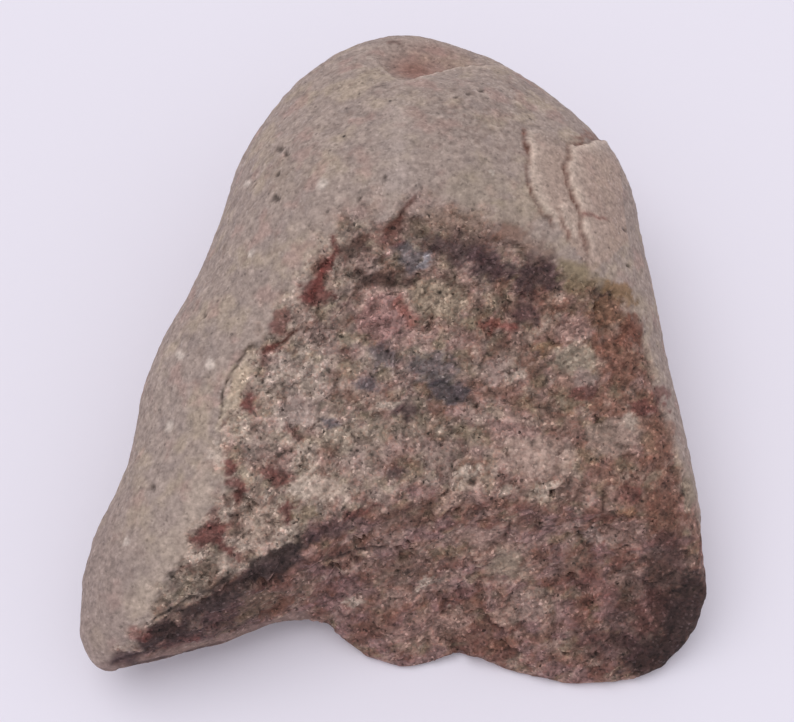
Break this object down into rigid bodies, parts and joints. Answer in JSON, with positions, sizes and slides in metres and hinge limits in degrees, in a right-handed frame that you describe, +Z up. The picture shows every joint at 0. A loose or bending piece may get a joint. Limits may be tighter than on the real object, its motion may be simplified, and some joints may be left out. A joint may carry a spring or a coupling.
{
  "type": "river pebble",
  "caption": "Water-worn river stone with a smooth rounded back and a rough two-facet broken front, resting on a flat spot underneath.",
  "frame": {"origin": "bottom centre of the stone's bounding box, on the plane it rests on", "axes": "+Z up out of the resting spot; +Y from the broken front towards the smooth rounded back, the stone's longest way; +X across it, with the low wing on the -X side"},
  "size_m": [0.0956, 0.1052, 0.0465],
  "materials": {
    "worn_and_broken_quartzite": "matte, smooth where water-worn and sugary where broken"
  },
  "bodies": {
    "root": {"river_pebble": "worn_and_broken_quartzite"}
  },
  "joints": []
}
